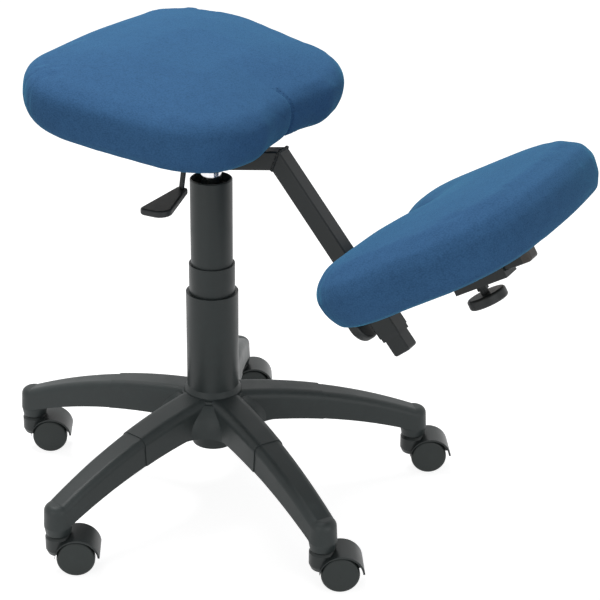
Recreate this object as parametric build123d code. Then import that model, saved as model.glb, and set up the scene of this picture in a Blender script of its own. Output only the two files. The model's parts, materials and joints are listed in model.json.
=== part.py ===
"""Kneeling stool: gas-lift column on a five-leg caster base, a notched seat and a clamped knee pad.

Millimetres, +Z up. The origin is on the floor under the column. The sitter faces -Y.
"""
import math
import os

from build123d import *

# Fits shared by every pair of pieces
running = 0.05        # radial clearance of a pin, shaft or slide
easy = 0.3            # clearance of loose covers and soft pieces
tap_hole = 0.3        # radial clearance round a screw that passes a wall

# Floor, casters and base star
leg_count = 5
base_turn = 5.2       # degrees from the rear of the seat to the nearest leg
caster_circle = 290   # radius of the caster sockets
wheel_r = 25
wheel_width = 14.5
wheel_gap = 14.6       # space between the two wheels of a caster
wheel_edge = 4
wheel_dome = 1.2      # outer face stands proud by this much in the middle
wheel_side_gap = 0.6
axle_r = 3
axle_boss_r = 8
axle_grip = 10        # length of axle inside each wheel
caster_trail = 22     # wheel axle behind the swivel stem
caster_heading = -59  # direction the casters trail, degrees from +X
hood_wall = 2.6
hood_gap = 1.6        # between the tread and the hood
hood_overhang = 1.2   # hood past the outer face of the wheel
hood_low = 28         # lowest edge of the hood
hood_back = 2.0       # middle of the hood behind the axle
housing_r = 17.5
housing_low = 24
housing_top = 53
stem_r = 5.5
stem_depth = 20       # stem inside the hood
stem_reach = 24       # stem inside the leg
stem_collar_r = 9
socket_face = 55      # underside of the leg at the caster
leg_foot_r = 16.5     # underside of the leg round the caster stem
leg_rise = 156        # height of the leg's crown line at the column
leg_bow = 745         # radius of that crown line
leg_root = 20
leg_root_width = 50
leg_end_width = 37
leg_root_height = 44
leg_end_height = 31
leg_draft = 1.5
leg_shoulder = 10
leg_wall = 3.5
leg_step = 1.2        # inner part of the leg stands proud by this much
leg_step_reach = 152
leg_hollow = (86, 262)
rib_thickness = 3
rib_places = (110, 160, 212)
hub_r = 29
hub_low = 75
hub_top = 154
hub_collar_r = 43
hub_collar_height = 16
hub_collar_flare = 4
web_sections = ((109, 80, 22, 65), (136, 76, 18, 60), (151, 66, 8, 48))   # height, reach, half, waist

# Gas-lift column
column_r = 25
column_floor = 4
column_low = 79
column_top = 321
column_taper_top = 141
column_foot_r = 23.8   # tapered foot, shared with the hub
column_bore_r = 21.8
bush_length = 80
bush_flange = 3
cylinder_r = 14
cylinder_wall = 2
cylinder_low = 176
cylinder_top = 517
cylinder_taper = 42
cylinder_tip_r = 13
cylinder_head = 26
seal_length = 20
rod_r = 5
rod_end = 71
piston_low = 264
piston_length = 12
bearing_washer = 2.5
bearing_ball_r = 2.5
bearing_ball_count = 11
bearing_ring_r = 8.6
bearing_r = 12
collar_r = 10
collar_height = 4
buffer_height = 12
buffer_r = 11
clip_r = 9
clip_thickness = 1.5
clip_groove_r = 4
clip_slot = 6
button_r = 4
button_proud = 9.7
button_round = 2.5
button_length = 33

# Telescopic covers
cover_wall = 1.7
cover_upper_r = 28.2
cover_middle_r = 31
cover_lower_r = 35.4
cover_flare_r = 39.5
cover_flare_height = 10
cover_lip = 3
cover_upper_top = 462
cover_upper_length = 165
cover_upper_ring = 12  # depth of the inner ring under the rim
cover_middle_top = 342
cover_middle_length = 150
cover_lower_top = 301.5

# Seat plate, lever and arm
seat_under = 543      # underside of the seat board at the column axis
seat_tilt = 9.3       # degrees, front down
plate_thickness = 3
plate_width = 190
plate_depth = 170
plate_flange = 15
plate_corner = 14
plate_back = 10       # plate centre behind the column
socket_r = 20
socket_low = 475
lever_r = 3.5
lever_height = 530.5
lever_swing = 7       # room for the wire in the socket
lever_tip = 3
lever_bend_x = -58
lever_drop_x = -74
lever_drop_z = 467
lever_grip = 26
lever_bend_r = 10
pivot_x = -46
pivot_r = 3
ear_gap = 9
ear_thickness = 3
ear_radius = 7
paddle_length = 94
paddle_inner = 15
paddle_outer = 44
paddle_thickness = 9
paddle_corner = 16
paddle_round = 3
tube_size = 25
tube_wall = 2
tube_corner = 2.5
arm_rise = 9.5        # degrees, upper length of the arm
arm_drop = 50.5       # degrees, lower length of the arm
bend_ahead = 101.8    # where the two lengths meet
bend_height = 505.4
arm_length = 289
plug_dome = 4
plug_insert = 16

# Sleeve, bar and clamp knobs of the knee pad
sleeve_size = 31
sleeve_wall = 2
sleeve_length = 74
sleeve_low = 263      # lower end of the sleeve, along the arm from the bend
liner_collar = 6
cap_length = 12
bar_reach = 66        # front end of the bar past the pad's centre
bar_drop = 16         # bar centre line under the pad board
carriage_size = 31
carriage_rear = 35
carriage_front = 40
carriage_floor = 36
carriage_flange_width = 96
carriage_flange = 3
knob_r = 25.5
knob_height = 13.5
knob_round = 3.5
knob_boss_r = 5.5
knob_boss = 4.5
clamp_screw_r = 4
nut_flats = 13
nut_height = 6.5
clamp_gap = 0.3       # knob to nut, and screw tip to tube
sleeve_knob_place = 232
pad_knob_place = -5

# Cushions and boards
seat_length = 326
seat_rear_width = 460
seat_front_width = 382
seat_rear_bow = 13
seat_front_bow = 17
seat_side_bow = 7
seat_radii = (112, 600, 100, 50, 7)   # plain corner, bow, notched corner, mouth, apex
seat_back = 38        # seat centre behind the column
seat_thickness = 67
seat_crown = 16
seat_under_round = (25, 30)   # inset and height of the lower edge
seat_top_round = (27, 21)     # inset and height of the upper edge
seat_notch = 20
seat_notch_width = 172
seat_board_thickness = 12
pad_length = 300
pad_rear_width = 418
pad_front_width = 392
pad_rear_bow = 8
pad_front_bow = 20
pad_radii = (114, 600, 94, 40, 12)
pad_back = -10        # pad centre behind the carriage
pad_thickness = 77
pad_crown = 11
pad_under_round = (25, 40)
pad_top_round = (52, 33)
pad_notch = 48
pad_notch_width = 100
pad_board_thickness = 10
pad_tilt = 31         # degrees, front up
pad_ahead = 370
pad_under = 424.3
board_margin = 40
cushion_least_r = 2
edge_steps = (0, 30, 60, 90)        # degrees round each edge of a cushion
crown_steps = (0.7, 0.4)            # shares of the top outline under the crown
fixing_r = 3
fixing_head_r = 6
fixing_head = 4
fixing_bite = 2
tnut_wall = 1
tnut_flange_r = 8
tnut_flange = 1.5
seat_fixings = (70, 60)
pad_fixings = (36, 30)


def frame_at(ahead, height, pitch):
    """A frame in the symmetry plane whose normal leans ahead by pitch degrees."""
    lean = math.radians(pitch)
    return Plane(origin=(0, -ahead, height), x_dir=(1, 0, 0), z_dir=(0, -math.sin(lean), math.cos(lean)))


seat_frame = frame_at(0, seat_under, seat_tilt)
pad_frame = frame_at(pad_ahead, pad_under, -pad_tilt)
upper_arm_frame = frame_at(bend_ahead, bend_height, 90 - arm_rise)
lower_arm_frame = frame_at(bend_ahead, bend_height, 90 + arm_drop)
bar_axis = pad_frame.offset(-bar_drop).location * Rot(X=90)


def turned(points):
    """A solid of revolution about Z from (radius, height) corners."""
    outline = Plane.XZ * make_face(Polyline(*points, close=True))
    return revolve(outline, Axis.Z)


def ring(outer, inner, low, high):
    return turned([(inner, low), (outer, low), (outer, high), (inner, high)])


def rod(radius, low, high):
    return Pos(0, 0, low) * Cylinder(radius, high - low, align=(Align.CENTER, Align.CENTER, Align.MIN))


def slab(width, depth, low, high, corner=0):
    shape = RectangleRounded(width, depth, corner) if corner else Rectangle(width, depth)
    return Pos(0, 0, low) * extrude(shape, high - low)


def square_tube(size, wall, corner, low, high):
    bore = slab(size - 2 * wall, size - 2 * wall, low - 1, high + 1)
    return slab(size, size, low, high, corner) - bore


def above(place, size=900):
    """A block filling the space on the normal side of a plane."""
    return place * Box(size, size, size, align=(Align.CENTER, Align.CENTER, Align.MIN))


def hexagon(flats, low, high):
    return Pos(0, 0, low) * extrude(RegularPolygon(flats / 2, 6, major_radius=False), high - low)


def save(shape, node):
    solids = shape.solids()
    export_step(solids[0] if len(solids) == 1 else Compound(children=solids), f"parts/{node}.step")


# Base star
def crown_height(reach):
    return leg_rise - leg_bow + math.sqrt(leg_bow**2 - reach**2)


def leg_section(reach, grow=0.0, open_low=0.0):
    """Cross-section of a leg: flat floor, drafted sides and a rounded top, larger by grow."""
    share = (reach - leg_root) / (caster_circle - leg_root)
    half = (leg_root_width + share * (leg_end_width - leg_root_width)) / 2 + grow
    height = leg_root_height + share * (leg_end_height - leg_root_height)
    top = crown_height(reach) + grow
    low = crown_height(reach) - height - open_low
    points = [(-half, low), (half, low), (half - leg_draft, top), (leg_draft - half, top)]
    corners = make_face(Polyline(*points, close=True))
    tops = corners.vertices().sort_by(Axis.Y)[-2:]
    place = Plane(origin=(reach, 0, 0), x_dir=(0, 1, 0), z_dir=(1, 0, 0))
    return place * fillet(tops, leg_shoulder + grow)


def leg_body(start, end, grow=0.0, open_low=0.0):
    stations = [start + (end - start) * i / 4 for i in range(5)]
    return loft([leg_section(reach, grow, open_low) for reach in stations])


def make_leg():
    leg = leg_body(leg_root, caster_circle) + leg_body(leg_root, leg_step_reach, leg_step)
    peak = crown_height(caster_circle)
    half = leg_end_width / 2
    outline = make_face(Polyline((0, socket_face), (leg_foot_r, socket_face), (half, peak - leg_end_height),
                                 (half - leg_draft, peak), (0, peak), close=True))
    shoulder = outline.vertices().sort_by(Axis.Y)[-2:].sort_by(Axis.X)[-1]
    nose = revolve(Plane.XZ * fillet(shoulder, leg_shoulder), Axis.Z)
    hollow = leg_body(leg_hollow[0], leg_hollow[1], -leg_wall, leg_root_height)
    for reach in rib_places:
        hollow -= Pos(reach, 0, leg_rise / 2) * Box(rib_thickness, leg_root_width, leg_rise)
    return leg + Pos(caster_circle, 0, 0) * nose - hollow


def leg_angles():
    return [90 + base_turn + 360 * i / leg_count for i in range(leg_count)]


def make_web():
    """The rounded skirt that joins neighbouring legs round the hub."""
    sections = []
    for height, reach, half, waist in web_sections:
        edges = []
        for angle in leg_angles():
            corner, opposite = [Vector(reach, side, height).rotate(Axis.Z, angle) for side in (-half, half)]
            following = Vector(reach, -half, height).rotate(Axis.Z, angle + 360 / leg_count)
            middle = Vector(waist, 0, height).rotate(Axis.Z, angle + 180 / leg_count)
            edges += [Line(corner, opposite), ThreePointArc(opposite, middle, following)]
        sections.append(make_face(edges))
    return loft(sections)


def make_base_star():
    collar_low = hub_top - hub_collar_height
    star = rod(hub_r, hub_low, hub_top)
    star += turned([(0, collar_low), (hub_collar_r + hub_collar_flare, collar_low), (hub_collar_r, hub_top),
                    (0, hub_top)])
    star += make_web()
    leg = make_leg()
    for angle in leg_angles():
        star += Rot(Z=angle) * leg
    star -= rod(cover_flare_r + easy, hub_top, hub_top + leg_rise)
    star -= turned([(0, hub_low - 1), (column_foot_r, hub_low - 1), (column_foot_r, column_low),
                    (column_r, column_taper_top), (column_r, hub_top + 1), (0, hub_top + 1)])
    stem_hole = Pos(caster_circle, 0, 0) * rod(stem_r, socket_face - 1, socket_face + stem_reach)
    for angle in leg_angles():
        star -= Rot(Z=angle) * stem_hole
    return star


def make_caster_stems():
    stem = rod(stem_r, housing_top - stem_depth, socket_face + stem_reach)
    stem += rod(stem_collar_r, housing_top + running, socket_face)
    return Compound(children=[Rot(Z=angle) * Pos(caster_circle, 0, 0) * stem for angle in leg_angles()])


# One caster, with its stem on Z and its wheels trailing along +X
axle_place = Pos(caster_trail, 0, wheel_r) * Rot(X=90)


def across(radius, half):
    return Cylinder(radius, 2 * half)


def make_hood():
    web = wheel_gap / 2 - wheel_side_gap
    well_r = wheel_r + hood_gap
    half = wheel_gap / 2 + wheel_width + hood_overhang
    hood_place = Pos(hood_back, 0, 0) * axle_place
    hood = hood_place * across(well_r + hood_wall, half)
    hood -= Box(400, 400, 2 * hood_low)
    hood += turned([(0, housing_low), (housing_r * 0.5, housing_low), (housing_r * 0.85, housing_low + 3),
                    (housing_r, housing_low + 9), (housing_r, housing_top - 3), (housing_r - 3, housing_top),
                    (0, housing_top)])
    for place in (axle_place, hood_place):
        hood -= place * (across(well_r, 2 * half) - across(well_r, web))
    hood += axle_place * across(axle_boss_r, web)
    hood -= axle_place * across(axle_r, half)
    return hood - rod(stem_r + running, housing_top - stem_depth - running, housing_top + 1)


def make_wheel():
    """A wheel on Z, its inner face at zero and its bore closed on the outer face."""
    bore = axle_r + running
    wheel = turned([(bore, 0), (wheel_r, 0), (wheel_r, wheel_width - wheel_dome), (0, wheel_width),
                    (0, axle_grip + running), (bore, axle_grip + running)])
    rims = [edge for edge in wheel.edges().filter_by(GeomType.CIRCLE) if edge.radius > wheel_r - 0.01]
    return fillet(rims, wheel_edge)


def caster_places():
    for angle in leg_angles():
        turn = math.radians(angle)
        yield Pos(caster_circle * math.cos(turn), caster_circle * math.sin(turn), 0) * Rot(Z=caster_heading)


# Gas-lift column
bearing_top = column_low + column_floor + 2 * bearing_washer + 2 * bearing_ball_r
collar_top = bearing_top + collar_height
clip_top = column_low - running


def make_column_tube():
    hole = rod_r + running
    return turned([(hole, column_low), (column_foot_r, column_low), (column_r, column_taper_top),
                   (column_r, column_top), (column_bore_r, column_top),
                   (column_bore_r, column_low + column_floor), (hole, column_low + column_floor)])


def make_column_bush():
    bore = cylinder_r + running
    return ring(column_bore_r, bore, column_top - bush_length, column_top) + \
        ring(column_r, bore, column_top, column_top + bush_flange)


def make_thrust_bearing():
    low = column_low + column_floor
    bore = rod_r + running
    pieces = [ring(bearing_r, bore, low, low + bearing_washer),
              ring(bearing_r, bore, bearing_top - bearing_washer, bearing_top)]
    middle = low + bearing_washer + bearing_ball_r
    ball = Pos(bearing_ring_r, 0, middle) * Sphere(bearing_ball_r)
    for i in range(bearing_ball_count):
        pieces.append(Rot(Z=360 * i / bearing_ball_count) * ball)
    return Compound(children=pieces)


def make_piston_rod():
    shape = rod(rod_r, rod_end, piston_low + piston_length) + rod(collar_r, bearing_top, collar_top)
    shape += rod(cylinder_r - cylinder_wall - running, piston_low, piston_low + piston_length)
    return shape - ring(rod_r + 1, clip_groove_r, clip_top - clip_thickness, clip_top)


def make_rod_clip():
    clip = ring(clip_r, clip_groove_r, clip_top - clip_thickness, clip_top)
    return clip - Pos(clip_r, 0, clip_top) * Box(2 * clip_r, clip_slot, 4 * clip_thickness)


def make_gas_cylinder():
    bore = cylinder_r - cylinder_wall
    head = cylinder_top - cylinder_head
    return turned([(bore, cylinder_low), (cylinder_r, cylinder_low),
                   (cylinder_r, cylinder_top - cylinder_taper), (cylinder_tip_r, cylinder_top),
                   (button_r + running, cylinder_top), (button_r + running, head), (bore, head)])


def make_release_button():
    button = rod(button_r, cylinder_top + button_proud - button_length, cylinder_top + button_proud)
    return fillet(button.edges().sort_by(Axis.Z)[-1], button_round)


# Telescopic covers, each guided by a lip on its neighbour
def make_cover_upper():
    low = cover_upper_top - cover_upper_length
    inner = cover_upper_r - cover_wall
    shelf = cover_upper_top - cover_upper_ring
    cover = ring(cover_upper_r, inner, low, cover_upper_top)
    cover = chamfer(cover.edges().sort_by(Axis.Z)[-2:].sort_by(SortBy.RADIUS)[-1], cover_wall * 0.7)
    cover += ring(cover_middle_r - cover_wall - easy, inner, low, low + cover_lip)
    return cover + ring(inner, cylinder_r + running, shelf - cover_lip, shelf)


def make_cover_middle():
    low = cover_middle_top - cover_middle_length
    inner = cover_middle_r - cover_wall
    cover = ring(cover_middle_r, inner, low, cover_middle_top)
    cover += ring(cover_lower_r - cover_wall - easy, inner, low, low + cover_lip)
    return cover + ring(inner, cover_upper_r + easy, cover_middle_top - cover_lip, cover_middle_top)


def make_cover_lower():
    inner = cover_lower_r - cover_wall
    guide = cover_middle_r + easy
    return turned([(inner, hub_top), (cover_flare_r, hub_top), (cover_flare_r, hub_top + cover_lip),
                   (cover_lower_r, hub_top + cover_flare_height), (cover_lower_r, cover_lower_top),
                   (guide, cover_lower_top), (guide, cover_lower_top - cover_lip),
                   (inner, cover_lower_top - cover_lip)])


# Seat plate, socket and lever
plate_low = seat_frame.offset(-plate_thickness)
pivot_place = Pos(pivot_x, 0, lever_height) * Rot(X=90)


def make_taper_socket():
    low_r = cylinder_r
    taper_low = cylinder_top - cylinder_taper
    socket = rod(socket_r, socket_low, seat_under + plate_thickness)
    socket -= turned([(0, socket_low - 1), (low_r, socket_low - 1), (low_r, taper_low),
                      (cylinder_tip_r, cylinder_top), (cylinder_tip_r, seat_under + plate_thickness + 1),
                      (0, seat_under + plate_thickness + 1)])
    slot_low = lever_height - lever_r - lever_swing
    slot = Box(2 * socket_r, ear_gap, 2 * socket_r, align=(Align.MAX, Align.CENTER, Align.MIN))
    socket -= Pos(0, 0, slot_low) * slot
    return socket - above(plate_low)


def fixing_spots(spread, middle):
    return [(x, middle + y) for x in (-spread[0], spread[0]) for y in (-spread[1], spread[1])]


seat_spots = fixing_spots(seat_fixings, plate_back)
pad_spots = fixing_spots(pad_fixings, (carriage_rear - carriage_front) / 2)


def make_seat_plate():
    plate = Pos(0, plate_back, 0) * slab(plate_width, plate_depth, -plate_thickness, 0, plate_corner)
    for side in (-1, 1):
        edge = side * (plate_width - plate_thickness) / 2
        plate += Pos(edge, plate_back, -plate_flange / 2) * Box(
            plate_thickness, plate_depth - 3 * plate_corner, plate_flange)
    for x, y in seat_spots:
        plate -= Pos(x, y, 0) * rod(fixing_r + tap_hole, -plate_thickness - 1, 1)
    plate = seat_frame * plate
    ear_half = ear_gap / 2 + ear_thickness
    ears = pivot_place * across(ear_radius, ear_half)
    ears += Pos(pivot_x, 0, lever_height + ear_radius) * Box(2 * ear_radius, 2 * ear_half, 2 * ear_radius)
    ears -= Pos(pivot_x, 0, lever_height) * Box(4 * ear_radius, ear_gap, 8 * ear_radius)
    ears -= pivot_place * across(pivot_r + running, 2 * ear_half)
    return plate + (ears - above(plate_low))


def make_lever_rod():
    path = FilletPolyline((lever_tip, 0, lever_height), (lever_bend_x, 0, lever_height),
                          (lever_drop_x, 0, lever_drop_z), (lever_drop_x - lever_grip, 0, lever_drop_z - 1),
                          radius=lever_bend_r)
    wire = sweep(Plane(origin=path @ 0, z_dir=path % 0) * Circle(lever_r), path)
    return wire + pivot_place * across(pivot_r, ear_gap / 2 + ear_thickness + 1)


def make_lever_paddle(wire):
    rear = paddle_inner / 2
    start = lever_drop_x + paddle_inner * 0.3
    points = [(start, rear), (start - paddle_length, rear), (start - paddle_length, rear - paddle_outer),
              (start, -rear)]
    radii = [paddle_inner * 0.3, paddle_corner * 0.5, paddle_corner, paddle_inner * 0.3]
    plan = make_face(FilletPolyline(*points, radius=radii, close=True))
    paddle = Pos(0, 0, lever_drop_z - paddle_thickness / 2) * extrude(plan, paddle_thickness)
    rims = paddle.edges().group_by(Axis.Z)
    return fillet(rims[0] + rims[-1], paddle_round) - wire


# Arm
mitre = frame_at(bend_ahead, bend_height, 90 + (arm_drop - arm_rise) / 2)


def make_arm_upper():
    tube = upper_arm_frame * square_tube(tube_size, tube_wall, tube_corner, -bend_ahead, tube_size * 2)
    return tube - above(mitre) - rod(socket_r, socket_low, seat_under)


def make_arm_lower():
    tube = lower_arm_frame * square_tube(tube_size, tube_wall, tube_corner, -tube_size * 2, arm_length)
    return tube - above(-mitre)


def end_plug(face, length, insert):
    """A push-in plug whose head covers the end of a square tube."""
    head = slab(tube_size, tube_size, face, face + length, tube_corner)
    head = fillet(head.edges().group_by(Axis.Z)[-1], min(length, tube_corner * 2) * 0.9)
    return head + slab(tube_size - 2 * tube_wall, tube_size - 2 * tube_wall, face - insert, face)


# Sleeve, bar, carriage and clamp knobs
sleeve_clamp = lower_arm_frame.location * Pos(0, 0, sleeve_knob_place) * Rot(X=90)
pad_clamp = pad_frame.location * Pos(0, -pad_knob_place, 0) * Rot(X=180)
sleeve_front = Plane(lower_arm_frame.location * Pos(0, sleeve_size / 2, sleeve_low) * Rot(X=90))
slide_size = tube_size + 2 * running
sleeve_top = sleeve_low - sleeve_length


def make_arm_sleeve():
    sleeve = lower_arm_frame * square_tube(sleeve_size, sleeve_wall, tube_corner, sleeve_top, sleeve_low)
    return sleeve - sleeve_clamp * rod(clamp_screw_r + tap_hole, 0, sleeve_size)


def make_sleeve_liner():
    outer = sleeve_size - 2 * sleeve_wall
    collar = outer + sleeve_wall
    liner = slab(outer, outer, sleeve_top, sleeve_low)
    liner += slab(collar, collar, sleeve_low, sleeve_low + liner_collar, tube_corner)
    liner -= slab(slide_size, slide_size, sleeve_top - 1, sleeve_low + liner_collar + 1)
    return lower_arm_frame * liner - sleeve_clamp * rod(clamp_screw_r + tap_hole, 0, sleeve_size)


def make_pad_bar():
    bar = bar_axis * square_tube(tube_size, tube_wall, tube_corner, -2 * pad_length, bar_reach)
    return bar - above(sleeve_front)


def make_pad_carriage():
    length = carriage_rear + carriage_front
    middle = (carriage_front - carriage_rear) / 2
    box = Pos(0, -middle, -carriage_floor / 2) * Box(carriage_size, length, carriage_floor)
    box += Pos(0, -middle, 0) * slab(carriage_flange_width, length, -carriage_flange, 0, tube_corner * 2)
    for x, y in pad_spots:
        box -= Pos(x, y, 0) * rod(fixing_r + tap_hole, -carriage_flange - 1, 1)
    carriage = pad_frame * box - bar_axis * slab(slide_size, slide_size, -pad_length, pad_length)
    return carriage - pad_clamp * rod(clamp_screw_r + tap_hole, bar_drop, carriage_floor + 1)


def clamp_nut(face):
    top = face + nut_height
    return hexagon(nut_flats, face, top) - rod(clamp_screw_r + running, face - 1, top + 1)


def clamp_screw(face, tip):
    return rod(clamp_screw_r, tip + clamp_gap, face + nut_height + clamp_gap + knob_boss + knob_height * 0.6)


def clamp_knob(face):
    low = face + nut_height + clamp_gap
    disc = rod(knob_r, low + knob_boss, low + knob_boss + knob_height)
    disc = fillet(disc.edges().filter_by(GeomType.CIRCLE), knob_round)
    disc += rod(knob_boss_r, low, low + knob_boss + knob_height / 2)
    return disc - rod(clamp_screw_r, low - 1, low + knob_boss + knob_height * 0.6)


# Cushions and boards
def cushion_plan(length, plain_end, notched_end, notch, radii, side_bow=0):
    """Corners (x, y, radius) of a cushion with its notched end on -Y. Ends are (width, bow)."""
    end = length / 2
    plain, plain_bow = plain_end[0] / 2, plain_end[1]
    far, far_bow = notched_end[0] / 2, notched_end[1]
    mouth, depth = notch[0] / 2, notch[1]
    plain_r, bow_r, far_r, mouth_r, apex_r = radii
    plan = [(plain, end - plain_bow, plain_r), (0, end, bow_r), (-plain, end - plain_bow, plain_r),
            (-far, far_bow - end, far_r), (-mouth, -end, mouth_r), (0, depth - end, apex_r),
            (mouth, -end, mouth_r), (far, far_bow - end, far_r)]
    if side_bow:
        side, half_way = (plain + far) / 2 + side_bow, (far_bow - plain_bow) / 2
        plan.insert(3, (-side, half_way, bow_r))
        plan.append((side, half_way, bow_r))
    return plan


def inset_plan(plan, inset):
    """The same corners with every edge moved inward."""
    count = len(plan)
    moved = []
    for i in range(count):
        a, b, c = (Vector(*plan[(i + step) % count][:2]) for step in (-1, 0, 1))
        before = (b - a).normalized()
        after = (c - b).normalized()
        turn = before.X * after.Y - before.Y * after.X
        slide = inset * (1 - (before.X * after.X + before.Y * after.Y)) / turn if turn else 0
        corner = b + Vector(-before.Y, before.X) * inset - before * slide
        radius = plan[i][2] - inset if turn > 0 else plan[i][2] + inset
        moved.append((corner.X, corner.Y, max(radius, cushion_least_r)))
    return moved


def scaled_plan(plan, scale):
    return [(x * scale, y * scale, radius * scale) for x, y, radius in plan]


def plan_face(plan, height):
    loop = FilletPolyline(*[(x, y) for x, y, _ in plan], radius=[radius for *_, radius in plan], close=True)
    return Pos(0, 0, height) * make_face(loop)


def make_cushion(plan, thickness, crown, under, over):
    """A cushion with rounded lower and upper edges, each (inset, height), and a domed top."""
    sections = []
    for step in edge_steps:
        turn = math.radians(step)
        inset = under[0] * (1 - math.sin(turn))
        sections.append(plan_face(inset_plan(plan, inset), under[1] * (1 - math.cos(turn))))
    for step in edge_steps:
        turn = math.radians(step)
        inset = over[0] * (1 - math.cos(turn))
        sections.append(plan_face(inset_plan(plan, inset), thickness - over[1] * (1 - math.sin(turn))))
    top = inset_plan(plan, over[0])
    for share in crown_steps:
        sections.append(plan_face(scaled_plan(top, share), thickness + crown * (1 - share**2)))
    return loft(sections, ruled=True)


def make_board(plan, thickness, spots):
    board = extrude(plan_face(inset_plan(plan, board_margin), 0), thickness)
    for x, y in spots:
        board -= Pos(x, y, 0) * rod(fixing_r + running + tnut_wall, -1, thickness + 1)
        board -= Pos(x, y, 0) * rod(tnut_flange_r, thickness - tnut_flange, thickness + 1)
    return board


def fixing_screw(grip, thickness):
    return rod(fixing_r, -grip, thickness - fixing_bite) + rod(fixing_head_r, -grip - fixing_head, -grip)


def fixing_nut(thickness):
    barrel = fixing_r + running + tnut_wall
    nut = rod(barrel, fixing_bite, thickness) + rod(tnut_flange_r, thickness - tnut_flange, thickness)
    return nut - rod(fixing_r + running, fixing_bite - 1, thickness + 1)


def at_spots(frame, spots, piece):
    return Compound(children=[frame.location * Pos(x, y, 0) * piece for x, y in spots])


seat_plan = cushion_plan(seat_length, (seat_rear_width, seat_rear_bow), (seat_front_width, seat_front_bow),
                         (seat_notch_width, seat_notch), seat_radii, seat_side_bow)
pad_plan = cushion_plan(pad_length, (pad_front_width, pad_front_bow), (pad_rear_width, pad_rear_bow),
                        (pad_notch_width, pad_notch), pad_radii)
seat_place = Pos(0, seat_back, 0)
pad_place = Pos(0, pad_back, 0) * Rot(Z=180)

os.makedirs("parts", exist_ok=True)

save(make_base_star(), "base_star")
save(make_caster_stems(), "caster_stems")
for number, place in enumerate(caster_places(), start=1):
    save(place * make_hood(), f"caster_hood_{number}")
    save(place * axle_place * across(axle_r, wheel_gap / 2 + axle_grip), f"caster_axle_{number}")
    inner = Pos(0, 0, wheel_gap / 2) * make_wheel()
    save(place * axle_place * inner, f"caster_wheel_{number}_a")
    save(place * axle_place * Rot(X=180) * inner, f"caster_wheel_{number}_b")

save(make_column_tube(), "column_tube")
save(make_column_bush(), "column_bush")
save(make_thrust_bearing(), "thrust_bearing")
save(make_piston_rod(), "piston_rod")
save(make_rod_clip(), "rod_clip")
save(ring(buffer_r, rod_r + running, collar_top, collar_top + buffer_height), "rod_buffer")
save(make_gas_cylinder(), "gas_cylinder")
seal_top = cylinder_low + seal_length
save(ring(cylinder_r - cylinder_wall, rod_r + running, cylinder_low, seal_top), "cylinder_seal")
save(make_release_button(), "release_button")
save(make_cover_upper(), "cover_upper")
save(make_cover_middle(), "cover_middle")
save(make_cover_lower(), "cover_lower")

lever_wire = make_lever_rod()
save(make_taper_socket(), "taper_socket")
save(make_seat_plate(), "seat_plate")
save(lever_wire, "lever_rod")
save(make_lever_paddle(lever_wire), "lever_paddle")
save(make_arm_upper(), "arm_upper")
save(make_arm_lower(), "arm_lower")
save(lower_arm_frame * end_plug(arm_length, plug_dome, plug_insert), "arm_plug")

save(make_arm_sleeve(), "arm_sleeve")
save(make_sleeve_liner(), "sleeve_liner")
save(sleeve_clamp * clamp_nut(sleeve_size / 2), "sleeve_nut")
save(sleeve_clamp * clamp_screw(sleeve_size / 2, tube_size / 2), "sleeve_screw")
save(sleeve_clamp * clamp_knob(sleeve_size / 2), "sleeve_knob")
save(make_pad_bar(), "pad_bar")
save(bar_axis * end_plug(bar_reach, cap_length, plug_insert), "bar_cap")
save(make_pad_carriage(), "pad_carriage")
save(pad_clamp * clamp_nut(carriage_floor), "carriage_nut")
save(pad_clamp * clamp_screw(carriage_floor, bar_drop + tube_size / 2), "pad_stud")
save(pad_clamp * clamp_knob(carriage_floor), "pad_knob")

seat_board = make_board(seat_plan, seat_board_thickness, [(x, y - seat_back) for x, y in seat_spots])
pad_board = make_board(pad_plan, pad_board_thickness, [(-x, pad_back - y) for x, y in pad_spots])
seat_core = extrude(plan_face(inset_plan(seat_plan, board_margin), 0), seat_board_thickness)
pad_core = extrude(plan_face(inset_plan(pad_plan, board_margin), 0), pad_board_thickness)
seat_block = make_cushion(seat_plan, seat_thickness, seat_crown, seat_under_round, seat_top_round) - seat_core
pad_block = make_cushion(pad_plan, pad_thickness, pad_crown, pad_under_round, pad_top_round) - pad_core
save(seat_frame * (seat_place * seat_board), "seat_board")
save(seat_frame * (seat_place * seat_block), "seat_cushion")
save(pad_frame * (pad_place * pad_board), "pad_board")
save(pad_frame * (pad_place * pad_block), "knee_cushion")
save(at_spots(seat_frame, seat_spots, fixing_screw(plate_thickness, seat_board_thickness)), "seat_screws")
save(at_spots(seat_frame, seat_spots, fixing_nut(seat_board_thickness)), "seat_nuts")
save(at_spots(pad_frame, pad_spots, fixing_screw(carriage_flange, pad_board_thickness)), "pad_screws")
save(at_spots(pad_frame, pad_spots, fixing_nut(pad_board_thickness)), "pad_nuts")
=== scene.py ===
# %% [markdown]
# # A kneeling stool, dressed for its picture
# The stool has a notched seat on a gas-lift column, a star base on casters and a knee pad on a square arm.
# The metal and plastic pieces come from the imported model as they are. This lesson adds what solids cannot
# show: stuffed cushions, sewing, weld beads and the finish of each surface.

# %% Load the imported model
import json
import math

import bmesh
import bpy
from mathutils import Matrix, Vector


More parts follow.
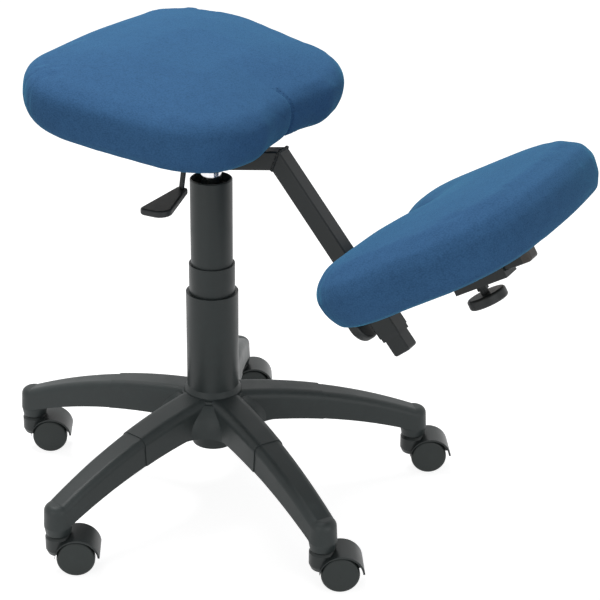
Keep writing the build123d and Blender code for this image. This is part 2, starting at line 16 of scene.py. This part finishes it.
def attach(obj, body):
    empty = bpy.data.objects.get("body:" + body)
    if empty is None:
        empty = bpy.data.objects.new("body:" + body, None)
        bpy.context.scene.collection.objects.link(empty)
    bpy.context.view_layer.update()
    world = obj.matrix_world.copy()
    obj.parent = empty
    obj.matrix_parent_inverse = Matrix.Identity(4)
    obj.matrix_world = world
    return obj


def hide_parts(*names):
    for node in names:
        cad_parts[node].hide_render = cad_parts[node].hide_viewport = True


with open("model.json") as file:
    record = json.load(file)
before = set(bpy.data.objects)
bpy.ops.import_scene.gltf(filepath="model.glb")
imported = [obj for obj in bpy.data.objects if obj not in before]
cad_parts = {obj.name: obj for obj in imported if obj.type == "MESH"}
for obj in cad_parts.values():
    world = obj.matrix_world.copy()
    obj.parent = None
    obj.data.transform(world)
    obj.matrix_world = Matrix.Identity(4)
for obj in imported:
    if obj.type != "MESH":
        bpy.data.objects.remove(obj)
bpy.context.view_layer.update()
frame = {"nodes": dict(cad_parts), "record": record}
nodes = frame["nodes"]

# %% [markdown]
# ## Camera
# The picture was taken from the sitter's right with a long lens. The distance, the height and the lens come
# from the circle of casters on the floor, so the base sits right and the rest follows from its sizes. A lens
# shift puts the stool off centre as in the picture, and keeps the upright lines as they are.

# %% Place the camera
camera_place = (-1.832, -1.101, 1.223)
camera_tilt = math.radians(66.35)
camera_turn = math.radians(-60.36)
lens_mm = 103.8
sensor_mm = 36
sideways_shift = 0.0833

camera_data = bpy.data.cameras.new("camera")
camera_data.lens = lens_mm
camera_data.sensor_width = sensor_mm
camera_data.shift_x = sideways_shift
camera = bpy.data.objects.new("camera", camera_data)
camera.location = camera_place
camera.rotation_euler = (camera_tilt, 0, camera_turn)
bpy.context.collection.objects.link(camera)
bpy.context.scene.camera = camera
print("camera", [round(value, 3) for value in camera.location])

# %% [markdown]
# ## Shader arithmetic
# A material is a sum and product of patterns. Wiring Math nodes by hand hides that, so a small class wraps a
# socket and lets plain Python arithmetic add the nodes. Every other node comes from its one method, `add`.


# %% Wrap a socket
class Shade:
    """A socket of a node tree that takes part in Python arithmetic."""

    def __init__(self, tree, socket=None):
        self.tree = tree
        self.socket = socket

    def add(self, kind, settings=None, sockets=None, out=0):
        node = self.tree.nodes.new(kind)
        for key, value in (settings or {}).items():
            if key == "stops":
                for stop, (place, grey) in zip(node.color_ramp.elements, value):
                    stop.position = place
                    stop.color = (grey, grey, grey, 1)
            else:
                setattr(node, key, value)
        for key, value in (sockets or {}).items():
            if isinstance(value, Shade):
                self.tree.links.new(value.socket, node.inputs[key])
            else:
                node.inputs[key].default_value = value
        return Shade(self.tree, node.outputs[out]) if node.outputs else None

    def maths(self, operation, first, second):
        return self.add("ShaderNodeMath", {"operation": operation}, {0: first, 1: second})

    def __add__(self, other):
        return self.maths("ADD", self, other)

    def __sub__(self, other):
        return self.maths("SUBTRACT", self, other)

    def __rsub__(self, other):
        return self.maths("SUBTRACT", other, self)

    def __mul__(self, other):
        return self.maths("MULTIPLY", self, other)

    __radd__ = __add__
    __rmul__ = __mul__


print("shader arithmetic with + - *")


# %% Short words for common nodes
def start_finish(name):
    """A new material, its empty node tree and the place on the piece that patterns read."""
    material = bpy.data.materials.new(name)
    material.use_nodes = True
    material.node_tree.nodes.clear()
    shade = Shade(material.node_tree)
    return material, shade, shade.add("ShaderNodeTexCoord", out="Object")


def noise(place, scale, detail):
    return place.add("ShaderNodeTexNoise", {}, {"Vector": place, "Scale": scale, "Detail": detail})


def steps(value, stops):
    return value.add("ShaderNodeValToRGB", {"stops": stops}, {"Fac": value})


def tint(amount, dark, light):
    sockets = {"Factor": amount, 6: (*dark, 1), 7: (*light, 1)}
    return amount.add("ShaderNodeMix", {"data_type": "RGBA"}, sockets, out=2)


def bump(height, strength, distance):
    return height.add("ShaderNodeBump", {}, {"Height": height, "Strength": strength, "Distance": distance})


def end_finish(shade, sockets):
    surface = shade.add("ShaderNodeBsdfPrincipled", {}, sockets)
    shade.add("ShaderNodeOutputMaterial", {}, {"Surface": surface})


# %% [markdown]
# ## Upholstery fabric
# The covers are a stretch knit in mid blue. Close up it is a field of small loops. Their colour is painted
# lighter on each loop's crown and darker between loops: a painted highlight and painted shade. A printed
# weave would need a map round every curve. A cell pattern in space, about one loop across, needs none and
# keeps its scale on both cushions.

# %% Blue knit
loops_per_metre = 620.0
fuzz_per_metre = 1500.0
heather_per_metre = 90.0
fade_per_metre = 7.0
loop_stretch = (1, 0.7, 1)
knit_relief = 0.0005
knit_sheen = {"Sheen Weight": 0.40, "Sheen Roughness": 0.30, "Sheen Tint": (0.10, 0.60, 0.80, 1)}


def make_fabric(name, dark, light):
    material, shade, place = start_finish(name)
    stretched = place.add("ShaderNodeMapping", {}, {"Vector": place, "Scale": loop_stretch})
    loops = place.add("ShaderNodeTexVoronoi", {}, {"Vector": stretched, "Scale": loops_per_metre})
    fuzz = noise(place, fuzz_per_metre, 1.0)
    heather = noise(place, heather_per_metre, 3.0)
    fade = noise(place, fade_per_metre, 2.0)
    # Lighter at each loop's crown and darker between loops: painted highlight and painted shade. Heather and
    # fade vary the yarn's tone at random.
    mix = 1.05 - loops * 0.75 + (heather - 0.5) * 0.5 + (fade - 0.5) * 0.35
    height = (1 - loops) + fuzz * 0.35
    end_finish(shade, {"Base Color": tint(mix, dark, light), "Roughness": 0.84 + heather * 0.12, **knit_sheen,
                       "Specular IOR Level": 0.15, "Normal": bump(height, 0.35, knit_relief)})
    return material


knit = make_fabric("blue_knit", (0.024, 0.078, 0.180), (0.050, 0.143, 0.303))
print("finish", knit.name)

# %% [markdown]
# ## Moulded plastic and painted steel
# The base, covers, casters and knobs are moulded in a dark plastic with a fine spark-eroded grain. It
# scatters light where it is new and shines a little where hands and shoes have polished it. The tubes have
# a powder coat: smoother, with the long soft ripple that the paint leaves as it flows. A flat grey would do
# from afar, and a photographed texture would have to be wrapped round each piece. Noises at the scales of
# grain, handling and scuffs need no wrapping, and differ from piece to piece.

# %% Dark plastic and paint
cloud_per_metre = 14.0
scuff_per_metre = 55.0
scuff_stops = [(0.52, 0), (0.74, 1)]
plastic_shine = 0.34
grain_relief = 0.00012
ripple_per_metre = 260.0
paint_cloud_per_metre = 9.0
paint_relief = 0.0002


def make_plastic(name, colour, rough, grain_per_metre):
    material, shade, place = start_finish(name)
    fine = noise(place, grain_per_metre, 2.0)
    cloud = noise(place, cloud_per_metre, 3.0)
    scuff = steps(noise(place, scuff_per_metre, 6.0), scuff_stops)
    lighter = tuple(value * 1.35 + 0.004 for value in colour)
    darker = tuple(value * 0.82 for value in colour)
    gloss = rough + (cloud - 0.5) * 0.22 + (fine - 0.5) * 0.10 + scuff * 0.06
    end_finish(shade, {"Base Color": tint(cloud * 0.7 + scuff * 0.25 + fine * 0.1, darker, lighter),
                       "Roughness": gloss, "Specular IOR Level": plastic_shine,
                       "Normal": bump(fine + cloud * 0.4, 0.3, grain_relief)})
    return material


def make_paint(name, colour):
    material, shade, place = start_finish(name)
    ripple = noise(place, ripple_per_metre, 1.0)
    cloud = noise(place, paint_cloud_per_metre, 2.0)
    lighter = tuple(value * 1.25 + 0.003 for value in colour)
    end_finish(shade, {"Base Color": tint(cloud, colour, lighter), "Roughness": 0.36 + (cloud - 0.5) * 0.16,
                       "Specular IOR Level": 0.26, "Coat Weight": 0.06, "Coat Roughness": 0.35,
                       "Normal": bump(ripple, 0.25, paint_relief)})
    return material


# %% Dark finishes
# Each plastic has its colour, its roughness and how many grains lie in a metre.
plastics = {
    "base_plastic": ((0.024, 0.031, 0.031), 0.46, 900.0),
    "cover_plastic": ((0.017, 0.023, 0.023), 0.42, 1100.0),
    "caster_plastic": ((0.020, 0.025, 0.025), 0.38, 1200.0),
    "wheel_plastic": ((0.022, 0.028, 0.027), 0.46, 1200.0),
    "black_plastic": ((0.011, 0.014, 0.015), 0.44, 1000.0),
    "grey_plastic": ((0.062, 0.058, 0.053), 0.50, 1000.0),
    "rubber": ((0.016, 0.016, 0.016), 0.75, 700.0),
}
dark_finishes = {name: make_plastic(name, *recipe) for name, recipe in plastics.items()}
dark_finishes["black_steel"] = make_paint("black_steel", (0.012, 0.0155, 0.016))
print("dark finishes", len(dark_finishes))

# %% [markdown]
# ## Bright metal, bush and board
# The gas cylinder is hard chrome, the small hardware is zinc plated, the guide bush is natural nylon and the
# boards are thin plywood. All but the chrome hide under covers, and still show when the stool is taken
# apart. Drawn metal and wood both have fibres that run one way. Modelling them would take thousands of thin
# lines, so a noise stretched along the fibres stands for them.

# %% Bright finishes
metal_stretch = (1, 1, 0.05)
metal_relief = 0.0001
wood_stretch = (0.25, 4, 4)
wood_grain_per_metre = 40.0
wood_pores_per_metre = 300.0
wood_dark = (0.36, 0.22, 0.11)
wood_light = (0.62, 0.45, 0.27)
wood_relief = 0.0003


def make_metal(name, colour, rough, lines_per_metre):
    material, shade, place = start_finish(name)
    drawn = place.add("ShaderNodeMapping", {}, {"Vector": place, "Scale": metal_stretch})
    lines = noise(drawn, lines_per_metre, 3.0)
    darker = tuple(value * 0.86 for value in colour)
    end_finish(shade, {"Base Color": tint(lines, darker, colour), "Metallic": 1.0,
                       "Roughness": rough + (lines - 0.5) * rough * 0.5,
                       "Normal": bump(lines, 0.05, metal_relief)})
    return material


def make_plywood(name):
    material, shade, place = start_finish(name)
    along = place.add("ShaderNodeMapping", {}, {"Vector": place, "Scale": wood_stretch})
    grain = noise(along, wood_grain_per_metre, 5.0)
    pores = noise(along, wood_pores_per_metre, 2.0)
    mix = grain * 0.8 + pores * 0.25
    end_finish(shade, {"Base Color": tint(mix, wood_dark, wood_light), "Roughness": 0.62 + pores * 0.15,
                       "Normal": bump(pores + grain, 0.2, wood_relief)})
    return material


bright_finishes = {
    "chrome": make_metal("chrome", (0.80, 0.80, 0.82), 0.12, 500.0),
    "zinc_steel": make_metal("zinc_steel", (0.56, 0.57, 0.58), 0.32, 800.0),
    "white_plastic": make_plastic("white_plastic", (0.62, 0.62, 0.59), 0.45, 900.0),
    "plywood": make_plywood("plywood"),
}
print("bright finishes", len(bright_finishes))

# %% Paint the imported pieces
finishes = {**dark_finishes, **bright_finishes, "blue_fabric": knit}
for entry in frame["record"]["subparts"]:
    piece = nodes[entry["node"]]
    piece.data.materials.clear()
    piece.data.materials.append(finishes[entry["material_slot"]])
print("painted pieces", len(nodes))

# %% [markdown]
# ## Notches and corner folds
# The cover of each cushion is sewn to a point in its notch. On the seat the foam fills the notch out. On the
# knee pad the seam pulls the foam down, further and wider towards the rim. At the corners the cover lies in
# small folds. A skin coarse enough to simulate is too coarse for these, and sculpting them by hand leaves
# nothing to adjust. Smooth formulas of the distance from the seam and from the corners move the points
# instead, after the cover has been blown up. They work in the cushion's own upright frame.

# %% Cushion frames
seat_lean = math.radians(9.3)
seat_height = 0.543
pad_lean = math.radians(-31)
pad_ahead = 0.370
pad_height = 0.4243


def lean_frame(ahead, height, lean):
    """A frame ahead of the column and above the floor, leaning about the X axis."""
    return Matrix.Translation((0, -ahead, height)) @ Matrix.Rotation(lean, 4, "X")


seat_frame = lean_frame(0, seat_height, seat_lean)
pad_frame = lean_frame(pad_ahead, pad_height, pad_lean)
for title, place in (("seat frame", seat_frame), ("pad frame", pad_frame)):
    print(title, [round(value, 3) for value in place.translation])

# %% Where the covers are drawn in
seat_notch = {
    "way": -1,  # the end along Y that the notch opens to
    "seam": 0.082,  # how far out the sewing starts
    "near": 0.060,  # how far out the foam starts to move
    "far": 0.090,  # how far out it has moved all the way
    "dip": 0.001,  # how far it is pulled down
    "fill": 0.008,  # how far it stands out into the notch
    "width": 0.040,  # half the width of what moves
    "flare": 0.0,  # how much wider and deeper that gets towards the rim
}
pad_notch = {
    "way": 1,
    "seam": 0.080,
    "near": -0.030,
    "far": 0.075,
    "dip": 0.018,
    "fill": 0.0,
    "width": 0.044,
    "flare": 0.85,
}
flare_near = 0.05
flare_far = 0.13
dip_low = 0.01
dip_high = 0.06


def in_seam(notch, y):
    return notch["way"] * y > notch["seam"]


def ramp(value, low, high):
    """Zero below a low value, one above a high one, smooth between."""
    share = min(max((value - low) / (high - low), 0), 1)
    return share * share * (3 - 2 * share)


def mould(notch, spot):
    """How the foam in the notch stands out or dips under the sewing."""
    reach = notch["way"] * spot.y
    flare = 1 + notch["flare"] * ramp(reach, flare_near, flare_far)
    across = spot.x / (notch["width"] * flare)
    share = ramp(reach, notch["near"], notch["far"]) * math.exp(-(across**2))
    dip = notch["dip"] * share * ramp(spot.z, dip_low, dip_high) * flare
    return Vector((0, notch["way"] * notch["fill"] * share, -dip))


print("notches", "fill", seat_notch["fill"], "dip", pad_notch["dip"])

# %% Folds at the corners
# Each corner has the middle of its bend and the direction, in degrees, that it points in.
seat_corners = ((0.109, 0.083, 41), (-0.109, 0.083, 139))
pad_corners = ((0.112, 0.038, 44), (-0.112, 0.038, 136), (0.088, -0.036, -43), (-0.088, -0.036, -137))
# Each fold has its turn from that direction, in degrees, and its depth.
folds = ((-13, 0.0003), (-3, 0.0008), (9, 0.0005))
fold_half = 0.0030
fold_near = 0.05
fold_far = 0.09


def gather(corners, spot):
    """Depth of the small folds where the cover turns a corner."""
    depth = 0.0
    for x, y, facing in corners:
        away = Vector((spot.x - x, spot.y - y))
        if away.length > fold_near:
            turn = math.atan2(away.y, away.x) - math.radians(facing)
            turn = (turn + math.pi) % (2 * math.pi) - math.pi
            for lean, fold in folds:
                across = (turn - math.radians(lean)) * away.length / fold_half
                depth += fold * math.exp(-(across**2)) * ramp(away.length, fold_near, fold_far)
    return depth


print("corner folds", len(folds) * (len(seat_corners) + len(pad_corners)))

# %% [markdown]
# ## Stuffed cushions
# Each cushion is a block of foam in a tight cover, held by its seam and by staples under its board. The
# packed block alone looks like soap, and a mesh swollen by a formula bulges alike all over. So the block is
# wrapped in an even skin, a little larger because the smoothing draws it in, and blown up as cloth: the skin
# bulges between the places that hold it, which are the stapled rim and the sewn crease.

# %% Copy a cushion
merge_gap = 1e-5


def merged_copy(node, place):
    """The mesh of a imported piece, merged and moved into an upright frame."""
    form = bmesh.new()
    form.from_mesh(nodes[node].data)
    bmesh.ops.remove_doubles(form, verts=form.verts, dist=merge_gap)
    bmesh.ops.transform(form, matrix=place.inverted(), verts=form.verts)
    return form


def cushion_copy(node, place, margin):
    """A copy of a packed cushion, larger by a margin for each axis, its underside kept."""
    form = merged_copy(node, place)
    spans = [[vert.co[i] for vert in form.verts] for i in range(3)]
    low = Vector([min(span) for span in spans])
    high = Vector([max(span) for span in spans])
    foot = Vector(((low.x + high.x) / 2, (low.y + high.y) / 2, low.z))
    growth = [1 + 2 * margin[i] / (high[i] - low[i]) for i in range(3)]
    matrix = Matrix.Translation(foot) @ Matrix.Diagonal((*growth, 1)) @ Matrix.Translation(-foot)
    bmesh.ops.transform(form, matrix=matrix, verts=form.verts)
    mesh = bpy.data.meshes.new(node + "_skin")
    form.to_mesh(mesh)
    form.free()
    return mesh


def keep_modifiers(piece):
    """Writes what the modifiers give into the mesh and removes them."""
    graph = bpy.context.evaluated_depsgraph_get()
    mesh = bpy.data.meshes.new_from_object(piece.evaluated_get(graph))
    piece.modifiers.clear()
    old = piece.data
    piece.data = mesh
    bpy.data.meshes.remove(old)


# %% Blow up a cushion
skin_margin = (0.0014, 0.0014, 0.0004)
skin_size = 0.005
held_height = 0.010
crease_half = 0.010
swell_limit = 0.0018
sag_limit = 0.0008
settling_frames = 20
cover_cloth = {
    "quality": 6,
    "mass": 0.25,
    "tension_stiffness": 12,
    "compression_stiffness": 12,
    "bending_stiffness": 0.6,
    "use_pressure": True,
    "uniform_pressure_force": 4.0,
}


def hold(piece, notch):
    """Marks the points that the staples and the seam hold, and gives the mark's name."""
    held = piece.vertex_groups.new(name="held")
    for vert in piece.data.vertices:
        rim = 1 - min(max((vert.co.z - held_height * 0.5) / held_height, 0), 1)
        crease = max(0, 1 - abs(vert.co.x) / crease_half) if in_seam(notch, vert.co.y) else 0
        held.add([vert.index], max(rim, crease), "REPLACE")
    return held.name


def blow_up(node, name, place, notch):
    """A skin round a packed cushion, swollen by a cloth simulation."""
    piece = bpy.data.objects.new(name, cushion_copy(node, place, skin_margin))
    bpy.context.collection.objects.link(piece)
    remesh = piece.modifiers.new("skin", "REMESH")
    remesh.mode = "VOXEL"
    remesh.voxel_size = skin_size
    keep_modifiers(piece)
    rest = [(vert.co.copy(), vert.normal.copy()) for vert in piece.data.vertices]
    held = hold(piece, notch)
    cloth = piece.modifiers.new("cover", "CLOTH")
    for key, value in cover_cloth.items():
        setattr(cloth.settings, key, value)
    cloth.settings.effector_weights.gravity = 0
    cloth.settings.vertex_group_mass = held
    cloth.point_cache.frame_start = 1
    cloth.point_cache.frame_end = settling_frames
    for number in range(1, settling_frames + 1):
        bpy.context.scene.frame_set(number)
    keep_modifiers(piece)
    bpy.context.scene.frame_set(1)
    for vert, (start, outward) in zip(piece.data.vertices, rest):
        swell = min(max((vert.co - start).dot(outward), -sag_limit), swell_limit)
        vert.co = start + outward * swell
    return piece


# %% Smooth the skin and sink the seam
smooth_rounds = 2
smooth_share = 0.4
seam_depth = 0.0032
seam_half = 0.0024


def smooth_skin(piece):
    """Evens out the skin above the rim and divides its faces once."""
    form = bmesh.new()
    form.from_mesh(piece.data)
    soft = [vert for vert in form.verts if vert.co.z > held_height]
    for _ in range(smooth_rounds):
        bmesh.ops.smooth_vert(form, verts=soft, factor=smooth_share,
                              use_axis_x=True, use_axis_y=True, use_axis_z=True)
    form.to_mesh(piece.data)
    form.free()
    round_off = piece.modifiers.new("round", "SUBSURF")
    round_off.levels = 1
    round_off.render_levels = 1
    keep_modifiers(piece)


def finish_cushion(piece, place, node, body, notch, corners):
    smooth_skin(piece)
    form = bmesh.new()
    form.from_mesh(piece.data)
    form.normal_update()
    for vert in form.verts:
        if vert.co.z > held_height:
            sunk = gather(corners, vert.co)
            if in_seam(notch, vert.co.y):
                sunk += seam_depth * math.exp(-((vert.co.x / seam_half) ** 2))
            vert.co += mould(notch, vert.co) - vert.normal * sunk
    bmesh.ops.transform(form, matrix=place, verts=form.verts)
    for face in form.faces:
        face.smooth = True
    form.to_mesh(piece.data)
    form.free()
    piece.data.materials.clear()
    piece.data.materials.append(knit)
    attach(piece, body)
    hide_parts(node)
    print(piece.name, len(piece.data.vertices))


seat = blow_up("seat_cushion", "seat_cover", seat_frame, seat_notch)
finish_cushion(seat, seat_frame, "seat_cushion", "seat_frame", seat_notch, seat_corners)
pad = blow_up("knee_cushion", "knee_cover", pad_frame, pad_notch)
finish_cushion(pad, pad_frame, "knee_cushion", "knee_pad", pad_notch, pad_corners)

# %% [markdown]
# ## Sewing and staples
# The cover is sewn shut in the notch, with a row of stitches on each side of the seam. Under the board its
# hem is folded in and stapled. Points measured by hand would drift off as soon as a cushion changes. The cut
# of a plane through the cushion gives the line of the seam, and the cut through the board gives the line of
# the hem, so both follow the shapes with no measuring.

# %% Lines cut from a shape
cut_slack = 1e-6


def cut_lines(form, point, normal):
    """The lines, longest first, where a plane cuts a shape. The shape is used up."""
    geometry = [*form.verts, *form.edges, *form.faces]
    bmesh.ops.bisect_plane(form, geom=geometry, dist=cut_slack, plane_co=point, plane_no=normal,
                           clear_inner=True, clear_outer=True)
    left = dict.fromkeys(form.edges)  # keeps its order, so that each run starts at the same edge
    lines = []
    while left:
        edge, _ = left.popitem()
        here = edge.verts[1]
        line = [edge.verts[0].co.copy(), here.co.copy()]
        following = [other for other in here.link_edges if other in left]
        while following:
            left.pop(following[0])
            here = following[0].other_vert(here)
            line.append(here.co.copy())
            following = [other for other in here.link_edges if other in left]
        lines.append(line)
    form.free()
    return sorted(lines, key=lambda line: -sum((b - a).length for a, b in zip(line, line[1:])))


def spread(line, gap):
    """Pairs of place and direction, at even distances along a line."""
    places = []
    travel = 0.0
    for here, there in zip(line, line[1:]):
        length = (there - here).length
        while travel < length:
            places.append((here.lerp(there, travel / length), (there - here).normalized()))
            travel += gap
        travel -= length
    return places


# %% Lay small things along a line
def turn_along(direction):
    """A turn that lays the X axis along a direction."""
    return direction.to_track_quat("X", "Z").to_matrix().to_4x4()


def new_piece(name, form, finish, body):
    """Makes a piece of a shape, dresses it and lets it ride on a body."""
    for face in form.faces:
        face.smooth = True
    mesh = bpy.data.meshes.new(name)
    form.to_mesh(mesh)
    form.free()
    mesh.materials.append(finish)
    piece = bpy.data.objects.new(name, mesh)
    bpy.context.collection.objects.link(piece)
    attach(piece, body)
    print(name, len(mesh.polygons))


# %% Stitches beside the seams
thread = make_fabric("blue_thread", (0.021, 0.062, 0.145), (0.043, 0.115, 0.250))
stitch_offset = 0.0036
stitch_gap = 0.0055
stitch_clear = 0.006
stitch_shape = Matrix.Diagonal((0.0020, 0.0005, 0.0005, 1))


def sew(cover, name, place, notch, body):
    """A row of stitches on each side of the seam, down to a little above the rim."""
    form = bmesh.new()
    for side in (-stitch_offset, stitch_offset):
        skin = bmesh.new()
        skin.from_mesh(cover.data)
        bmesh.ops.transform(skin, matrix=place.inverted(), verts=skin.verts)
        seam = cut_lines(skin, (side, 0, 0), (1, 0, 0))[0]
        for spot, along in spread(seam, stitch_gap):
            if in_seam(notch, spot.y) and spot.z > held_height + stitch_clear:
                stitch = place @ Matrix.Translation(spot) @ turn_along(along) @ stitch_shape
                bmesh.ops.create_uvsphere(form, u_segments=6, v_segments=5, radius=1, matrix=stitch)
    new_piece(name, form, thread, body)


sew(seat, "seat_stitches", seat_frame, seat_notch, "seat_frame")
sew(pad, "knee_stitches", pad_frame, pad_notch, "knee_pad")

# %% Stapled hems
board_cut = 0.004
hem_point_gap = 0.006
hem_width = 0.022
hem_lap = 0.006
hem_thickness = 0.0012
staple_gap = 0.026
staple_shape = Matrix.Diagonal((0.0096, 0.0012, 0.0010, 1))
staple_edge = 0.0003
staple_skew = 0.35
skew_change = 2.4


def hem(board, name, place, body):
    """A flat band of cover under the edge of a board. Gives the line of the board's edge."""
    edge = cut_lines(merged_copy(board, place), (0, 0, board_cut), (0, 0, 1))[0]
    form = bmesh.new()
    sheet = form.faces.new([form.verts.new((spot.x, spot.y, 0)) for spot, _ in spread(edge, hem_point_gap)])
    form.normal_update()
    bmesh.ops.inset_region(form, faces=[sheet], thickness=hem_width, use_boundary=True, use_even_offset=True)
    bmesh.ops.delete(form, geom=[sheet], context="FACES_ONLY")
    bmesh.ops.inset_region(form, faces=form.faces[:], thickness=hem_lap, use_boundary=True, use_outset=True)
    fold = bmesh.ops.extrude_face_region(form, geom=form.faces[:])["geom"]
    lower = [vert for vert in fold if isinstance(vert, bmesh.types.BMVert)]
    bmesh.ops.translate(form, verts=lower, vec=(0, 0, -hem_thickness))
    bmesh.ops.recalc_face_normals(form, faces=form.faces)
    bmesh.ops.transform(form, matrix=place, verts=form.verts)
    new_piece(name, form, knit, body)
    return edge


def staple(edge, name, place, body):
    """Staples along the band, a little askew as a hand-held tacker leaves them."""
    form = bmesh.new()
    middle = sum(edge, Vector()) / len(edge)
    for number, (spot, along) in enumerate(spread(edge, staple_gap)):
        inward = Vector((-along.y, along.x, 0))
        if inward.dot(middle - spot) < 0:
            inward = -inward
        skew = staple_skew * math.sin(number * skew_change)
        lean = Matrix.Rotation(math.atan2(along.y, along.x) + skew, 4, "Z")
        centre = Vector((spot.x, spot.y, -hem_thickness)) + inward * hem_width * 0.5
        matrix = place @ Matrix.Translation(centre) @ lean @ staple_shape
        bar = bmesh.ops.create_cube(form, size=1, matrix=matrix)["verts"]
        edges = {line for vert in bar for line in vert.link_edges}
        bmesh.ops.bevel(form, geom=list(edges), offset=staple_edge, offset_type="OFFSET", segments=1,
                        profile=0.5, affect="EDGES", material=-1)
    new_piece(name, form, bright_finishes["zinc_steel"], body)


staple(hem("seat_board", "seat_hem", seat_frame, "seat_frame"), "seat_staples", seat_frame, "seat_frame")
staple(hem("pad_board", "knee_hem", pad_frame, "knee_pad"), "knee_staples", pad_frame, "knee_pad")

# %% [markdown]
# ## Weld beads
# The arm is two lengths of square tube welded at a mitre, and the bar of the knee pad is welded to the
# sleeve. Paint does not hide the ripples of a weld. A bump in the paint would not show at the outline, so a
# bead is a row of small overlapping drops, one for each pulse of the torch, laid along the line where the
# tubes meet.

# %% Lay the beads
drop_gap = 0.0022
drop_size = 0.0021
drop_change = 0.0003
drop_beat = 1.7
drop_squeeze = Matrix.Diagonal((0.75, 1, 1, 1))
mitre_ahead = 0.1018
mitre_height = 0.5054
mitre_lean = math.radians(110.5)
lower_arm_lean = math.radians(140.5)
mitre_cut = 0.0003
sleeve_half = 0.0155
sleeve_along = 0.263
bar_cut = 0.0005


def weld(node, name, place, cut_height, body):
    """Drops of weld round a tube where the ground plane of a frame meets it."""
    form = bmesh.new()
    ring = cut_lines(merged_copy(node, place), (0, 0, cut_height), (0, 0, 1))[0]
    for number, (spot, along) in enumerate(spread(ring, drop_gap)):
        size = drop_size + drop_change * math.sin(number * drop_beat)
        drop = Matrix.Translation((spot.x, spot.y, 0)) @ turn_along(along) @ drop_squeeze
        bmesh.ops.create_uvsphere(form, u_segments=8, v_segments=6, radius=size, matrix=place @ drop)
    new_piece(name, form, dark_finishes["black_steel"], body)


mitre_frame = lean_frame(mitre_ahead, mitre_height, mitre_lean)
lower_arm = lean_frame(mitre_ahead, mitre_height, lower_arm_lean)
face_on = Matrix.Rotation(math.radians(-90), 4, "X")
sleeve_face = lower_arm @ Matrix.Translation((0, sleeve_half, sleeve_along)) @ face_on
weld("arm_lower", "mitre_weld", mitre_frame, mitre_cut, "seat_frame")
weld("pad_bar", "bar_weld", sleeve_face, bar_cut, "knee_carrier")

# %% [markdown]
# ## Floor and light
# A white sweep under the stool and three large soft lamps give the even light of a catalogue picture.
# Stronger lamps would whiten the floor too, and bleach the stool with it. Instead the floor and the sky show
# white to the camera and to shiny metal, and light the stool only as much as a pale room would.

# %% Floor
floor_half = 8
floor_drop = 0.0005
floor_grey = (0.55, 0.55, 0.55, 1)
floor_glow = 0.84
pure_white = (1, 1, 1, 1)


def glow_where_seen(shade):
    """One for rays that see the surface directly or in a mirror, zero for those that only light."""
    seen = shade.add("ShaderNodeLightPath", out="Is Camera Ray")
    for name in ("Is Glossy Ray", "Is Transmission Ray"):
        seen = seen.maths("MAXIMUM", seen, seen.add("ShaderNodeLightPath", out=name))
    return seen


floor_form = bmesh.new()
bmesh.ops.create_grid(floor_form, x_segments=1, y_segments=1, size=floor_half)
floor_mesh = bpy.data.meshes.new("floor")
floor_form.to_mesh(floor_mesh)
floor_form.free()
floor = bpy.data.objects.new("floor", floor_mesh)
floor.location.z = -floor_drop
bpy.context.collection.objects.link(floor)
floor_paint, floor_shade, _ = start_finish("floor_white")
matt = floor_shade.add("ShaderNodeBsdfDiffuse", {}, {"Color": floor_grey})
glow = floor_shade.add("ShaderNodeEmission", {}, {"Color": pure_white, "Strength": floor_glow})
both = floor_shade.add("ShaderNodeAddShader", {}, {0: matt, 1: glow})
mixed = floor_shade.add("ShaderNodeMixShader", {}, {0: glow_where_seen(floor_shade), 1: matt, 2: both})
floor_shade.add("ShaderNodeOutputMaterial", {}, {"Surface": mixed})
floor_mesh.materials.append(floor_paint)
print("floor", 2 * floor_half, "m wide")

# %% Sky
sky_light = 0.30

world = bpy.data.worlds.new("room")
world.use_nodes = True
world.node_tree.nodes.clear()
bpy.context.scene.world = world
sky = Shade(world.node_tree)
dim = sky.add("ShaderNodeBackground", {}, {"Color": pure_white, "Strength": sky_light})
white = sky.add("ShaderNodeBackground", {}, {"Color": pure_white, "Strength": 1.0})
seen_sky = sky.add("ShaderNodeMixShader", {}, {0: glow_where_seen(sky), 1: dim, 2: white})
sky.add("ShaderNodeOutputWorld", {}, {"Surface": seen_sky})
bpy.context.scene.view_settings.view_transform = "Standard"
print("sky", world.name)

# %% Lamps
# Each lamp has its place, the point that it faces, its width and its watts.
lamps = {
    "top_lamp": ((0.2, 0.7, 2.6), (0, -0.1, 0.4), 1.4, 41),
    "side_lamp": ((-2.1, 0.2, 0.7), (0, 0, 0.3), 1.4, 7.5),
    "front_lamp": ((-1.0, -2.3, 0.7), (0, -0.1, 0.35), 1.6, 11),
}


def soft_lamp(name, place, target, width, watts):
    data = bpy.data.lights.new(name, "AREA")
    data.shape = "DISK"
    data.size = width
    data.energy = watts
    lamp = bpy.data.objects.new(name, data)
    lamp.location = place
    lamp.rotation_euler = (Vector(target) - Vector(place)).to_track_quat("-Z", "Y").to_euler()
    bpy.context.collection.objects.link(lamp)


for name, settings in lamps.items():
    soft_lamp(name, *settings)
print("lamps", len(lamps))

# %% [markdown]
# ## Last update
# The view layer is brought up to date.

# %% Update the view layer
bpy.context.view_layer.update()
